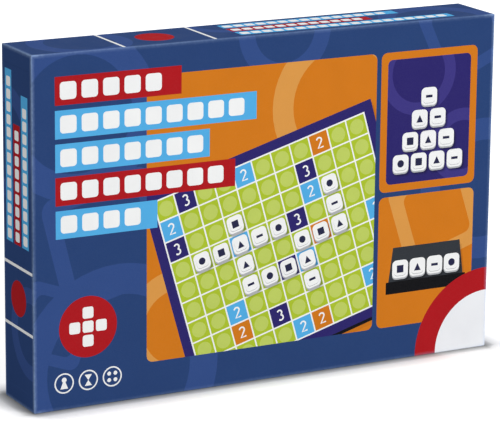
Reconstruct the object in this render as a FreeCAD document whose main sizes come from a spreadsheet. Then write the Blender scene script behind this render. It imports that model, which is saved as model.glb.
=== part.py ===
import FreeCAD, Part
import math
import os
import re
import Sketcher

# A boxed word board game, standing on its long side as on a shop shelf.
# X runs along the width, Z up, and the lid's printed front faces -Y.
# The origin is under the middle of the box, on the surface that it stands on.

doc = FreeCAD.newDocument("word_board_game")

# Driving dimensions, in millimetres

SIZES = (
    # the closed box
    ("box_width", "400"),
    ("box_height", "274"),
    ("box_depth", "56"),
    # grey board, wrapping paper and corner tape
    ("card", "1.5"),
    ("paper", "0.25"),
    ("turn_in", "15"),
    ("stay_leg", "12"),
    ("stay_paper", "0.2"),
    # how the lid goes over the base
    ("lid_play", "0.8"),
    ("lid_reveal", "2"),
    ("seat_gap", "0.2"),
    # game board
    ("board_card", "2"),
    ("board_play", "1.2"),
    ("board_headroom", "3"),
    # thermoformed tray
    ("tray_sheet", "0.8"),
    ("tray_play", "0.6"),
    ("well_corner", "4"),
    ("finger_width", "26"),
    ("finger_reach", "9"),
    ("finger_depth", "16"),
    ("finger_dip", "8"),
    ("groove_width", "7"),
    ("groove_depth", "1.2"),
    ("groove_corner", "2.8"),
    # letter tile
    ("tile_side", "15.6"),
    ("tile_corner", "3.6"),
    ("tile_slab", "3.4"),
    ("tile_pad_side", "11.8"),
    ("tile_pad_corner", "3.2"),
    ("tile_pad_rise", "1"),
    ("tile_edge", "0.5"),
    ("tile_gap", "0.7"),
    ("tile_play", "0.5"),
    ("tile_headroom", "0.6"),
    # letter rack
    ("rack_length", "140"),
    ("rack_width", "28"),
    ("rack_height", "20"),
    ("rack_wall", "1.8"),
    ("rack_lip", "2.2"),
    ("rack_lip_height", "6.5"),
    ("rack_ledge", "5.5"),
    ("rack_ledge_height", "3.6"),
    ("rack_crest", "3"),
    ("rack_edge", "0.8"),
    ("rack_play", "1.5"),
    ("rack_headroom", "1.5"),
    ("rack_spacing", "12"),
    # rules leaflet
    ("leaflet_width", "112"),
    ("leaflet_height", "70"),
    ("leaflet_leaf", "0.5"),
    ("leaflet_gap", "0.4"),
    ("leaflet_spine", "0.6"),
    ("leaflet_play", "1.5"),
    ("leaflet_headroom", "0.4"),
    # how far a cutting solid runs past the face that it opens
    ("overrun", "5"),
)

TILE_COLUMNS = 8
TILE_ROWS = 7
TILE_LAYERS = 2
RACK_CELLS = 3

# Piles of tiles for each letter, from the top left of the tile well
LETTER_PILES = {
    "a": 4, "b": 1, "c": 2, "d": 2, "e": 5, "f": 1, "g": 1, "h": 1, "i": 4,
    "j": 1, "k": 1, "l": 3, "m": 2, "n": 3, "o": 4, "p": 2, "q": 1, "r": 3,
    "s": 3, "t": 3, "u": 2, "v": 1, "w": 1, "x": 1, "y": 1, "z": 1, "blank": 2,
}

# Places and sizes worked out from the driving dimensions

DERIVED = {
    "front": "-box_depth / 2",
    "back": "box_depth / 2",
    "middle": "box_height / 2",
    # lid: paper, card and turned-in paper make its wall
    "lid_wall": "card + 2 * paper",
    "lid_rim": "back - lid_reveal",
    "lid_panel": "front + paper + card",
    # base: its outside is inset from the lid's outside
    "base_inset": "lid_wall + lid_play",
    "base_rim": "lid_panel + seat_gap",
    "base_floor": "back - paper - card",
    "base_inside": "base_inset + card + 2 * paper",
    # game board, lying on the tray's deck
    "board_front": "lid_panel + board_headroom",
    "board_inset": "base_inside + board_play",
    "deck": "board_front + board_card + 2 * paper",
    # tray
    "tray_inset": "base_inside + tray_play",
    "tray_width": "box_width - 2 * tray_inset",
    "tray_height": "box_height - 2 * tray_inset",
    # tile well
    "tile_height": "tile_slab + tile_pad_rise",
    "tile_pitch": "tile_side + tile_gap",
    "tile_well_width": f"{TILE_COLUMNS} * tile_pitch - tile_gap + 2 * tile_play",
    "tile_well_height": f"{TILE_ROWS} * tile_pitch - tile_gap + 2 * tile_play",
    "tile_well_depth": f"{TILE_LAYERS} * tile_height + tile_headroom",
    # leaflet recess, under the tile well
    "leaflet_thick": "2 * leaflet_leaf + leaflet_gap",
    "leaflet_well_width": "leaflet_width + 2 * leaflet_play",
    "leaflet_well_height": "leaflet_height + 2 * leaflet_play",
    "leaflet_well_depth": "leaflet_thick + leaflet_headroom",
    "column_gap": "(tray_height - tile_well_height - leaflet_well_height) / 3",
    "tile_well_z": "box_height - tray_inset - column_gap - tile_well_height / 2",
    "leaflet_well_z": "tray_inset + column_gap + leaflet_well_height / 2",
    # two rack wells on each side of the tile well
    "rack_well_width": "rack_width + 2 * rack_play",
    "rack_well_length": "rack_length + 2 * rack_play",
    "rack_well_depth": "rack_height + rack_headroom",
    "rack_zone_x": "(tile_well_width + tray_width) / 4",
    "rack_shift": "(rack_well_width + rack_spacing) / 2",
    "groove_shift": "(rack_well_length + tray_height) / 4",
    # rack cells, between its end walls and cross ribs
    "rack_cell_pitch": f"(rack_length - rack_wall) / {RACK_CELLS}",
}

sheet = doc.addObject("Spreadsheet::Sheet", "Sizes")
for row, (alias, value) in enumerate(SIZES, start=1):
    sheet.set(f"A{row}", alias)
    sheet.set(f"B{row}", value)
    sheet.setAlias(f"B{row}", alias)
doc.recompute()

ALIASES = {alias for alias, value in SIZES}


def formula(text):
    """Write a formula of the names above as an expression on the sheet's cells."""
    def spell_out(match):
        word = match.group()
        if word in DERIVED:
            return f"({formula(DERIVED[word])})"
        return f"Sizes.{word}" if word in ALIASES else word
    return re.sub(r"[a-z_]+", spell_out, str(text))


def value_of(text):
    """The present value of a formula, in millimetres."""
    return float(sheet.evalExpression(formula(text)))


def bind(item, prop, text):
    item.setExpression(prop, formula(text))


# Helpers for solids built from blocks

def block(name, x_span, y_span, z_span):
    """A box between two formulas on each axis."""
    box = doc.addObject("Part::Box", name)
    for axis, side, span in (("x", "Length", x_span), ("y", "Width", y_span), ("z", "Height", z_span)):
        low, high = sorted(span, key=value_of)
        bind(box, side, f"({high}) - ({low})")
        bind(box, f"Placement.Base.{axis}", low)
    return box


def cut(name, base, *tools):
    """The base with each tool taken away in turn."""
    for step, tool in enumerate(tools, start=1):
        result = doc.addObject("Part::Cut", name if step == len(tools) else f"{name}_step_{step}")
        result.Base = base
        result.Tool = tool
        base = result
    return base


def fuse(name, base, tool):
    result = doc.addObject("Part::Fuse", name)
    result.Base = base
    result.Tool = tool
    return result


def compound(name, items):
    result = doc.addObject("Part::Compound", name)
    result.Links = items
    return result


def inset_block(name, inset, y_span):
    """A block that fills the box outline, drawn in by an inset on its four sides."""
    half_width = f"box_width / 2 - ({inset})"
    return block(name, (f"-({half_width})", half_width), y_span, (inset, f"box_height - ({inset})"))


# Helpers for bodies built from sketches

def origin_plane(body, role):
    return next(item for item in body.Origin.OriginFeatures if item.Role == role)


def new_sketch(body, name, role, x="0", y="0", z="0"):
    """A sketch on one of the body's own planes, moved by formulas along the sketch's axes."""
    sketch = body.newObject("Sketcher::SketchObject", name)
    sketch.AttachmentSupport = [(origin_plane(body, role), "")]
    sketch.MapMode = "FlatFace"
    for axis, text in (("x", x), ("y", y), ("z", z)):
        bind(sketch, f"AttachmentOffset.Base.{axis}", text)
    return sketch


def name_last(sketch, name, text):
    """Name the newest constraint and bind its value to a formula."""
    sketch.renameConstraint(sketch.ConstraintCount - 1, name)
    bind(sketch, f"Constraints.{name}", text)


def point(x, y):
    return FreeCAD.Vector(x, y, 0)


def draw_rounded(sketch, width, height, radius):
    """A rectangle with round corners, centred on the sketch's origin."""
    w = value_of(width) / 2
    h = value_of(height) / 2
    r = value_of(radius)
    corners = ((1, 1), (-1, 1), (-1, -1), (1, -1))
    normal = FreeCAD.Vector(0, 0, 1)
    quarter = math.pi / 2
    for number, (sx, sy) in enumerate(corners):
        circle = Part.Circle(point(sx * (w - r), sy * (h - r)), normal, r)
        sketch.addGeometry(Part.ArcOfCircle(circle, number * quarter, (number + 1) * quarter), False)
    sketch.addGeometry(Part.LineSegment(point(w - r, h), point(r - w, h)), False)
    sketch.addGeometry(Part.LineSegment(point(-w, h - r), point(-w, r - h)), False)
    sketch.addGeometry(Part.LineSegment(point(r - w, -h), point(w - r, -h)), False)
    sketch.addGeometry(Part.LineSegment(point(w, r - h), point(w, h - r)), False)
    top, left, bottom, right = 4, 5, 6, 7
    for arc, line in ((0, top), (1, left), (2, bottom), (3, right)):
        sketch.addConstraint(Sketcher.Constraint("Tangent", arc, 2, line, 1))
        sketch.addConstraint(Sketcher.Constraint("Tangent", line, 2, (arc + 1) % 4, 1))
    for line, direction in ((top, "Horizontal"), (left, "Vertical")):
        sketch.addConstraint(Sketcher.Constraint(direction, line))
    for arc in (1, 2, 3):
        sketch.addConstraint(Sketcher.Constraint("Equal", 0, arc))
    sketch.addConstraint(Sketcher.Constraint("Symmetric", 0, 3, 2, 3, -1, 1))
    sketch.addConstraint(Sketcher.Constraint("DistanceX", left, 1, right, 1, 2 * w))
    name_last(sketch, "width", width)
    sketch.addConstraint(Sketcher.Constraint("DistanceY", bottom, 1, top, 1, 2 * h))
    name_last(sketch, "height", height)
    sketch.addConstraint(Sketcher.Constraint("Radius", 0, r))
    name_last(sketch, "radius", radius)


def draw_polygon(sketch, corners):
    """A closed outline through corners given as formulas, none of them below zero."""
    places = [(value_of(x), value_of(y)) for x, y in corners]
    count = len(corners)
    for number in range(count):
        start = point(*places[number])
        end = point(*places[(number + 1) % count])
        sketch.addGeometry(Part.LineSegment(start, end), False)
    for number, (x, y) in enumerate(corners):
        sketch.addConstraint(Sketcher.Constraint("Coincident", number - 1 if number else count - 1, 2, number, 1))
        for letter, text, place, axis in (("X", x, places[number][0], -2), ("Y", y, places[number][1], -1)):
            if text == "0":
                sketch.addConstraint(Sketcher.Constraint("PointOnObject", number, 1, axis))
            else:
                sketch.addConstraint(Sketcher.Constraint(f"Distance{letter}", -1, 1, number, 1, place))
                name_last(sketch, f"corner_{number}_{letter.lower()}", text)


def extrude(body, kind, sketch, length, backwards=False):
    """A pad or pocket of a sketch."""
    feature = body.newObject(f"PartDesign::{kind}", f"{sketch.Name}_{kind.lower()}")
    feature.Profile = sketch
    bind(feature, "Length", length)
    feature.Reversed = backwards
    return feature


def check_cuts(features):
    """Make sure that each feature after the first takes something away."""
    doc.recompute()
    for before, after in zip(features, features[1:]):
        if not after.Shape.Volume < before.Shape.Volume:
            raise RuntimeError(f"{after.Name} cuts nothing")


def edges_where(feature, test):
    """The names of a feature's edges whose every vertex passes a test, straight or round."""
    names = []
    for number, edge in enumerate(feature.Shape.Edges, start=1):
        if all(test(vertex.Point) for vertex in edge.Vertexes):
            names.append(f"Edge{number}")
    return names


def ease_edges(body, kind, prop, feature, edges, amount):
    """A fillet or chamfer on some of a feature's edges."""
    eased = body.newObject(f"PartDesign::{kind}", f"{feature.Name}_{kind.lower()}")
    eased.Base = (feature, edges)
    bind(eased, prop, amount)
    doc.recompute()


TOUCH_SHARE = 0.001


def near(first, second):
    """Whether two places are the same, to a small share of the paper's thickness."""
    return abs(first - second) < TOUCH_SHARE * value_of("paper")


nodes = []


def keep(item, name):
    """Take a finished piece into the part under its own label."""
    item.Label = name
    nodes.append(item)


# Lid and base: a grey-board tray, tape in its corners and a paper wrap turned in over the rim

def carton(name, inset, closed, rim, inward):
    """An open box whose panel is at y = closed and whose rim is at y = rim."""
    card_end = f"{rim} - {inward} * paper"
    panel = f"{closed} + {inward} * (paper + card)"
    turn_end = f"{rim} - {inward} * (paper + turn_in)"
    past_rim = f"{rim} + {inward} * overrun"
    wall = f"{inset} + paper + card"

    blank = inset_block(f"{name}_blank", f"{inset} + paper", (f"{closed} + {inward} * paper", card_end))
    hollow = inset_block(f"{name}_hollow", wall, (panel, past_rim))
    board = cut(f"{name}_board", blank, hollow)
    keep(board, f"{name}_board")

    stays = []
    for side, from_side in (("-", "+"), ("+", "-")):
        for end, from_end in (("-", "+"), ("+", "-")):
            corner_x = f"0 {side} (box_width / 2 - ({wall}))"
            corner_z = f"middle {end} (middle - ({wall}))"
            outer = block(f"{name}_stay_outer", (corner_x, f"{corner_x} {from_side} stay_leg"),
                          (panel, turn_end), (corner_z, f"{corner_z} {from_end} stay_leg"))
            inner = block(f"{name}_stay_inner",
                          (f"{corner_x} {from_side} stay_paper", f"{corner_x} {from_side} (stay_leg + overrun)"),
                          (f"{panel} - {inward} * overrun", f"{turn_end} + {inward} * overrun"),
                          (f"{corner_z} {from_end} stay_paper", f"{corner_z} {from_end} (stay_leg + overrun)"))
            stays.append(cut(f"{name}_stay", outer, inner))
    keep(compound(f"{name}_corner_stays", stays), f"{name}_corner_stays")

    skin = inset_block(f"{name}_skin", inset, (closed, rim))
    plug = inset_block(f"{name}_plug", wall, (turn_end, past_rim))
    mouth = inset_block(f"{name}_mouth", f"{wall} + paper", (panel, past_rim))
    space = fuse(f"{name}_space", cut(f"{name}_filling", blank, plug), mouth)
    keep(cut(f"{name}_wrap", skin, space), f"{name}_wrap")


carton("lid", "0", "front", "lid_rim", "1")
carton("base", "base_inset", "back", "base_rim", "-1")


# Game board: one rigid panel, black paper on its back and edges, a printed sheet on its face

core_back = "deck - paper"
core_front = "board_front + paper"
core = inset_block("board_core", "board_inset + paper", (core_front, core_back))
keep(core, "game_board_core")
keep(cut("board_cover", inset_block("board_cover_blank", "board_inset", (core_front, "deck")), core),
     "game_board_back")
keep(inset_block("board_sheet", "board_inset", ("board_front", core_front)), "game_board_face")


# Tray: one thin sheet drawn down into wells, standing on the base's floor by its skirt

def tray_wells():
    """Name, centre, width, height, depth and corner of each well in the deck."""
    wells = [
        ("tile_well", "0", "tile_well_z", "tile_well_width", "tile_well_height", "tile_well_depth",
         "well_corner"),
        ("tile_finger", "0", "tile_well_z", "finger_width", "tile_well_height + 2 * finger_reach",
         "tile_well_depth", "well_corner"),
        ("leaflet_well", "0", "leaflet_well_z", "leaflet_well_width", "leaflet_well_height",
         "leaflet_well_depth", "well_corner"),
        ("leaflet_finger", "0", "leaflet_well_z", "finger_width", "leaflet_well_height + 2 * finger_reach",
         "finger_dip", "well_corner"),
    ]
    pair_width = "2 * rack_well_width + rack_spacing"
    for side, zone in (("left", "-rack_zone_x"), ("right", "rack_zone_x")):
        for place, shift in (("first", "- rack_shift"), ("second", "+ rack_shift")):
            wells.append((f"rack_well_{side}_{place}", f"{zone} {shift}", "middle",
                          "rack_well_width", "rack_well_length", "rack_well_depth", "well_corner"))
        wells.append((f"rack_finger_{side}", zone, "middle", f"{pair_width} + 2 * finger_reach",
                      "finger_width", "finger_depth", "well_corner"))
        for end, step in (("bottom", "-"), ("top", "+")):
            for line, offset in (("inner", "-"), ("outer", "+")):
                wells.append((f"groove_{side}_{end}_{line}", zone,
                              f"middle {step} (groove_shift {offset} groove_width)",
                              pair_width, "groove_width", "groove_depth", "groove_corner"))
    return wells


def tray_form(name, grow, back):
    """The tray's outside, or with grow the core that leaves a sheet of that thickness over it."""
    body = doc.addObject("PartDesign::Body", name)
    outline = new_sketch(body, f"{name}_outline", "XZ_Plane", y="middle", z=f"-({back})")
    draw_rounded(outline, f"tray_width - 2 * {grow}", f"tray_height - 2 * {grow}", f"well_corner - {grow}")
    steps = [extrude(body, "Pad", outline, f"{back} - deck - {grow}")]
    for well, x, z, width, height, depth, corner in tray_wells():
        sketch = new_sketch(body, f"{name}_{well}", "XZ_Plane", x=x, y=z, z=f"-(deck + {grow})")
        draw_rounded(sketch, f"{width} + 2 * {grow}", f"{height} + 2 * {grow}", f"{corner} + {grow}")
        steps.append(extrude(body, "Pocket", sketch, depth))
    check_cuts(steps)
    return body


keep(cut("tray_sheet", tray_form("tray_outside", "0", "base_floor"),
         tray_form("tray_core", "tray_sheet", "base_floor + overrun")), "tray")


# Letter racks: moulded wedges, hollow underneath, with a ledge and a lip for the tiles

def make_rack(name, x):
    body = doc.addObject("PartDesign::Body", f"{name}_body")
    slope_foot = "rack_lip + rack_ledge"
    profile = new_sketch(body, f"{name}_profile", "XY_Plane")
    draw_polygon(profile, (
        ("0", "0"),
        ("rack_width", "0"),
        ("rack_width", "rack_height"),
        ("rack_width - rack_crest", "rack_height"),
        (slope_foot, "rack_ledge_height"),
        ("rack_lip", "rack_ledge_height"),
        ("rack_lip", "rack_lip_height"),
        ("0", "rack_lip_height"),
    ))
    wedge = extrude(body, "Pad", profile, "rack_length")

    under = new_sketch(body, f"{name}_under", "XY_Plane", z="rack_wall")
    draw_polygon(under, (
        ("rack_wall", "0"),
        ("rack_width - rack_wall", "0"),
        ("rack_width - rack_wall", "rack_height - 2 * rack_wall"),
        (f"{slope_foot} + rack_wall", "rack_ledge_height - rack_wall"),
        ("rack_wall", "rack_ledge_height - rack_wall"),
    ))
    cell = extrude(body, "Pocket", under, "rack_cell_pitch - rack_wall", backwards=True)
    check_cuts((wedge, cell))
    cells = body.newObject("PartDesign::LinearPattern", f"{name}_cells")
    cells.Originals = [cell]
    cells.Direction = (under, ["N_Axis"])
    bind(cells, "Length", f"{RACK_CELLS - 1} * rack_cell_pitch")
    cells.Occurrences = RACK_CELLS
    body.Tip = cells
    doc.recompute()

    width = value_of("rack_width")
    height = value_of("rack_height")
    lip = value_of("rack_lip_height")

    def on_top_edge(place):
        on_lip = near(place.y, lip) and place.x < value_of(slope_foot)
        on_crest = near(place.y, height)
        at_back = near(place.x, width) and near(place.y, 0)
        return (on_lip or on_crest) and not at_back

    ease_edges(body, "Fillet", "Radius", cells, edges_where(cells, on_top_edge), "rack_edge")
    body.Placement.Rotation = FreeCAD.Rotation(FreeCAD.Vector(0, 0, 1), 180)
    bind(body, "Placement.Base.x", f"{x} + rack_width / 2")
    bind(body, "Placement.Base.y", "deck + rack_well_depth")
    bind(body, "Placement.Base.z", "middle - rack_length / 2")
    keep(body, name)


make_rack("rack_1", "-rack_zone_x - rack_shift")
make_rack("rack_2", "-rack_zone_x + rack_shift")
make_rack("rack_3", "rack_zone_x - rack_shift")
make_rack("rack_4", "rack_zone_x + rack_shift")


# Rules leaflet: one sheet folded once, lying in its recess with the spine on the left

def make_leaflet():
    body = doc.addObject("PartDesign::Body", "leaflet_body")
    profile = new_sketch(body, "leaflet_profile", "XY_Plane")
    draw_polygon(profile, (
        ("0", "0"),
        ("leaflet_width", "0"),
        ("leaflet_width", "leaflet_leaf"),
        ("leaflet_spine", "leaflet_leaf"),
        ("leaflet_spine", "leaflet_leaf + leaflet_gap"),
        ("leaflet_width", "leaflet_leaf + leaflet_gap"),
        ("leaflet_width", "leaflet_thick"),
        ("0", "leaflet_thick"),
    ))
    extrude(body, "Pad", profile, "leaflet_height")
    bind(body, "Placement.Base.x", "-leaflet_width / 2")
    bind(body, "Placement.Base.y", "deck + leaflet_well_depth - leaflet_thick")
    bind(body, "Placement.Base.z", "leaflet_well_z - leaflet_height / 2")
    keep(body, "rules_leaflet")


make_leaflet()


# Letter tiles: a slab with a raised pad, piled up and grouped by letter

def make_tile():
    body = doc.addObject("PartDesign::Body", "tile_body")
    slab = new_sketch(body, "tile_slab", "XZ_Plane")
    draw_rounded(slab, "tile_side", "tile_side", "tile_corner")
    extrude(body, "Pad", slab, "tile_slab")
    pad = new_sketch(body, "tile_pad", "XZ_Plane", z="tile_slab")
    draw_rounded(pad, "tile_pad_side", "tile_pad_side", "tile_pad_corner")
    solid = extrude(body, "Pad", pad, "tile_pad_rise")
    doc.recompute()
    slab_top = -value_of("tile_slab")
    pad_top = -value_of("tile_height")
    between = value_of("(tile_pad_side + tile_side) / 4")

    def on_upper_edge(place):
        outside_pad = max(abs(place.x), abs(place.z)) > between
        return near(place.y, pad_top) or (near(place.y, slab_top) and outside_pad)

    ease_edges(body, "Chamfer", "Size", solid, edges_where(solid, on_upper_edge), "tile_edge")
    return body


def make_tiles():
    tile = make_tile().Shape
    pitch = value_of("tile_pitch")
    left = -value_of("tile_pitch") * (TILE_COLUMNS - 1) / 2
    top = value_of("tile_well_z") + pitch * (TILE_ROWS - 1) / 2
    floor = value_of("deck + tile_well_depth")
    rise = value_of("tile_height")
    pile = 0
    for letter, piles in LETTER_PILES.items():
        solids = []
        for place in range(pile, pile + piles):
            row, column = divmod(place, TILE_COLUMNS)
            for layer in range(TILE_LAYERS):
                solid = tile.copy()
                solid.translate(FreeCAD.Vector(left + pitch * column, floor - rise * layer, top - pitch * row))
                solids.append(solid)
        pile += piles
        group = doc.addObject("Part::Feature", f"tiles_{letter}")
        group.Shape = Part.makeCompound(solids)
        group.Placement = FreeCAD.Placement()
        keep(group, f"tiles_{letter}")


make_tiles()


# Check every object, then write each piece

doc.recompute()
for item in doc.Objects:
    if "Invalid" in item.State or "Error" in item.State:
        raise RuntimeError(f"{item.Name} failed: {item.State}")
for item in nodes:
    if item.Shape.isNull() or not item.Shape.isValid():
        raise RuntimeError(f"{item.Label} has no valid shape")

os.makedirs("parts", exist_ok=True)
for item in nodes:
    item.Shape.exportStep(f"parts/{item.Label}.step")
    box = item.Shape.BoundBox
    print(item.Label, len(item.Shape.Solids), round(item.Shape.Volume), [round(v, 2) for v in (
        box.XMin, box.XMax, box.YMin, box.YMax, box.ZMin, box.ZMax)])
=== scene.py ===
import math

import bpy
from mathutils import Matrix, Vector
from mathutils.geometry import delaunay_2d_cdt


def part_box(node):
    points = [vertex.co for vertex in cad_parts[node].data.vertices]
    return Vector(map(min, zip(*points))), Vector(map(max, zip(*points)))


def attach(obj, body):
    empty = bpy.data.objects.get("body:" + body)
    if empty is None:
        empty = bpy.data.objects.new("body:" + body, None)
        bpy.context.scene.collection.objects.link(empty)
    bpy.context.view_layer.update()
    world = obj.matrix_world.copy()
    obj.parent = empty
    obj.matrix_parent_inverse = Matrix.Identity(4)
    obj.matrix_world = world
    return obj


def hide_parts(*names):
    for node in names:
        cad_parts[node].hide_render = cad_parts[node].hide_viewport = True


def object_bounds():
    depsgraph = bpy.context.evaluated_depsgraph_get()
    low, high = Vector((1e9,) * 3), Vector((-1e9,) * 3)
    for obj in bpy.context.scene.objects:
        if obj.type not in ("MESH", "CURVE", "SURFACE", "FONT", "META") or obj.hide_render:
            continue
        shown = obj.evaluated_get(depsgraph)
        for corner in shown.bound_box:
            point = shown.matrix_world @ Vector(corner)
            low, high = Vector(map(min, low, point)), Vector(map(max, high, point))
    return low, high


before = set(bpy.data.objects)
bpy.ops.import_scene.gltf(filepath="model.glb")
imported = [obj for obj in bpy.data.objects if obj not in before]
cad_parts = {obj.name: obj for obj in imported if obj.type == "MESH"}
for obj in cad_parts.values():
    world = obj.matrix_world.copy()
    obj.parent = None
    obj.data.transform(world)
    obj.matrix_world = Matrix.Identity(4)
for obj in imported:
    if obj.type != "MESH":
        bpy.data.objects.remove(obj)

cad_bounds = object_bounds()
MM = 0.001


# Base board: the open tray of grey board that the game is packed in. Grey board is pulped waste
# paper, pressed, scored and folded up at the four sides, and it stays bare inside.

def colour(red, green, blue):
    """A colour from 0 to 255, as it is seen, in the linear form that a shader takes."""
    def linear(value):
        value /= 255
        return value / 12.92 if value <= 0.04045 else ((value + 0.055) / 1.055) ** 2.4
    return (linear(red), linear(green), linear(blue), 1.0)


def set_inputs(tree, made, inputs):
    for name, value in inputs.items():
        if isinstance(value, bpy.types.NodeSocket):
            tree.links.new(value, made.inputs[name])
        else:
            made.inputs[name].default_value = value


def add_node(tree, kind, inputs, **settings):
    made = tree.nodes.new(kind)
    for name, value in settings.items():
        setattr(made, name, value)
    set_inputs(tree, made, inputs)
    return made


def mix_colours(tree, factor, first, second, blend="MIX"):
    inputs = {0: factor, 6: first, 7: second}
    return add_node(tree, "ShaderNodeMix", inputs, data_type="RGBA", blend_type=blend).outputs[2]


def calculate(tree, operation, first, *others):
    """One sum, or a chain of them from left to right when there are more than two values."""
    for other in others:
        first = add_node(tree, "ShaderNodeMath", {0: first, 1: other}, operation=operation).outputs[0]
    return first


def map_range(tree, value, from_low, from_high, low, high):
    inputs = {"Value": value, "From Min": from_low, "From Max": from_high, "To Min": low, "To Max": high}
    return add_node(tree, "ShaderNodeMapRange", inputs).outputs[0]


def own_place(tree):
    """A point's place in the piece's own space, in metres."""
    return add_node(tree, "ShaderNodeTexCoord", {}).outputs["Object"]


def own_axes(tree):
    return add_node(tree, "ShaderNodeSeparateXYZ", {"Vector": own_place(tree)}).outputs


def noise(tree, scale, detail=3.0, stretch=(1.0, 1.0, 1.0)):
    """Soft noise in the piece's own space; scale is in features per metre."""
    place = add_node(tree, "ShaderNodeMapping", {"Vector": own_place(tree), "Scale": stretch}).outputs[0]
    inputs = {"Vector": place, "Scale": scale, "Detail": detail}
    return add_node(tree, "ShaderNodeTexNoise", inputs).outputs["Fac"]


def bump(tree, height, depth, strength, under=None):
    inputs = {"Height": height, "Distance": depth, "Strength": strength}
    if under is not None:
        inputs["Normal"] = under
    return add_node(tree, "ShaderNodeBump", inputs).outputs["Normal"]


def eased_edges(tree, radius):
    """The surface's direction, as if its edges were rounded off."""
    return add_node(tree, "ShaderNodeBevel", {"Radius": radius}, samples=6).outputs[0]


def edge_wear(tree, radius, low, high):
    """0 on flat faces, 1 along edges, broken up by noise."""
    normal = add_node(tree, "ShaderNodeNewGeometry", {}).outputs["Normal"]
    alike = add_node(tree, "ShaderNodeVectorMath", {0: eased_edges(tree, radius), 1: normal},
                     operation="DOT_PRODUCT").outputs["Value"]
    broken = calculate(tree, "MULTIPLY", noise(tree, 260.0, 5.0), 0.22)
    return map_range(tree, calculate(tree, "SUBTRACT", 1.0, alike, broken), low, high, 0.0, 1.0)


def new_material(name):
    material = bpy.data.materials.new(name)
    material.use_nodes = True
    return material, material.node_tree, material.node_tree.nodes["Principled BSDF"]


def fibre_material(name, dark, light, worn):
    """Bare board or paper: matted fibres, darker specks, fuzzy pale edges."""
    material, tree, shader = new_material(name)
    fibres = noise(tree, 900.0, 6.0, (1.0, 1.0, 0.35))
    specks = map_range(tree, noise(tree, 2300.0, 1.0), 0.62, 0.72, 0.0, 0.35)
    body = mix_colours(tree, fibres, dark, light)
    body = mix_colours(tree, specks, body, dark, "MULTIPLY")
    body = mix_colours(tree, edge_wear(tree, 0.4 * MM, 0.02, 0.2), body, worn)
    set_inputs(tree, shader, {
        "Base Color": body,
        "Roughness": map_range(tree, fibres, 0.3, 0.7, 0.82, 0.96),
        "Normal": bump(tree, fibres, 0.12 * MM, 0.5),
    })
    return material


def dress(node, material):
    """Give a CAD node its material."""
    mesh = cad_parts[node].data
    mesh.materials.clear()
    mesh.materials.append(material)


grey_board = fibre_material("grey_board", colour(112, 104, 94), colour(166, 157, 143),
                            colour(186, 178, 164))
dress("base_board", grey_board)


# Base corner stays: strips of gummed kraft paper, stuck into the four corners where the folded
# sides meet.

kraft_tape = fibre_material("corner_tape", colour(158, 130, 92), colour(198, 170, 130),
                            colour(214, 192, 156))
dress("base_corner_stays", kraft_tape)


# Base wrap: printed and varnished paper, glued over the base, folded round its edges and turned in
# over the rim. Its back shows a plain pattern, three diagrams and a bare pale panel.

BLUE = colour(40, 67, 118)
GHOST_BLUE = colour(51, 78, 137)
ORANGE = colour(212, 122, 26)
GHOST_ORANGE = colour(221, 154, 75)
SKY = colour(84, 176, 232)
RED = colour(176, 22, 30)
GREEN = colour(174, 196, 48)
PALE_GREEN = colour(206, 220, 126)
NAVY = colour(45, 38, 108)
GHOST_NAVY = colour(62, 55, 130)
CHARCOAL = colour(52, 56, 62)
BLACK = colour(16, 16, 20)
WHITE = colour(246, 247, 247)
TILE_SHADE = colour(178, 180, 184)
MARK = colour(40, 42, 74)
CORNER_STEPS = 4


def quarter_turn(start=0):
    """The angles that draw a quarter of a circle, from a start in degrees."""
    return [math.radians(start + 90 * step / CORNER_STEPS) for step in range(CORNER_STEPS + 1)]


def rounded(u0, v0, u1, v1, radius):
    """The outline of a rectangle with round corners."""
    left, right, foot, head = u0 + radius, u1 - radius, v0 + radius, v1 - radius
    points = []
    for u, v, start in ((right, head, 0), (left, head, 90), (left, foot, 180), (right, foot, 270)):
        points += [(u + radius * math.cos(angle), v + radius * math.sin(angle))
                   for angle in quarter_turn(start)]
    return points


def rectangle(u0, v0, u1, v1):
    return [(u0, v0), (u1, v0), (u1, v1), (u0, v1)]


def disc(u, v, radius, sides=48):
    angles = [math.tau * number / sides for number in range(sides)]
    return [(u + radius * math.cos(angle), v + radius * math.sin(angle)) for angle in angles]


def stroke(points, width):
    """The outline of a line drawn with a broad pen."""
    left, right = [], []
    for number, (u, v) in enumerate(points):
        before = points[max(number - 1, 0)]
        after = points[min(number + 1, len(points) - 1)]
        along = Vector((after[0] - before[0], after[1] - before[1])).normalized() * (width / 2)
        left.append((u - along.y, v + along.x))
        right.append((u + along.y, v - along.x))
    return right + left[::-1]


def numeral(digit, u, v, height):
    """A plain 2 or 3 as one broad stroke, centred on (u, v)."""
    def arc(half_width, middle, half_height, first, last):
        angles = [math.radians(degrees) for degrees in range(first, last - 1, -30)]
        return [(half_width * math.cos(angle), middle + half_height * math.sin(angle)) for angle in angles]

    if digit == 2:
        line = arc(0.5, 0.5, 0.48, 165, -45) + [(-0.52, -0.92), (0.58, -0.92)]
    else:
        line = arc(0.46, 0.5, 0.46, 150, -70) + arc(0.52, -0.46, 0.5, 70, -150)
    unit = height / 2
    return stroke([(u + unit * x, v + unit * y) for x, y in line], 0.3 * unit)


def turned(points, u, v, degrees):
    """An outline turned about the origin and then moved to (u, v)."""
    spin = Matrix.Rotation(math.radians(degrees), 2)
    return [tuple(spin @ Vector(point) + Vector((u, v))) for point in points]


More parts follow.
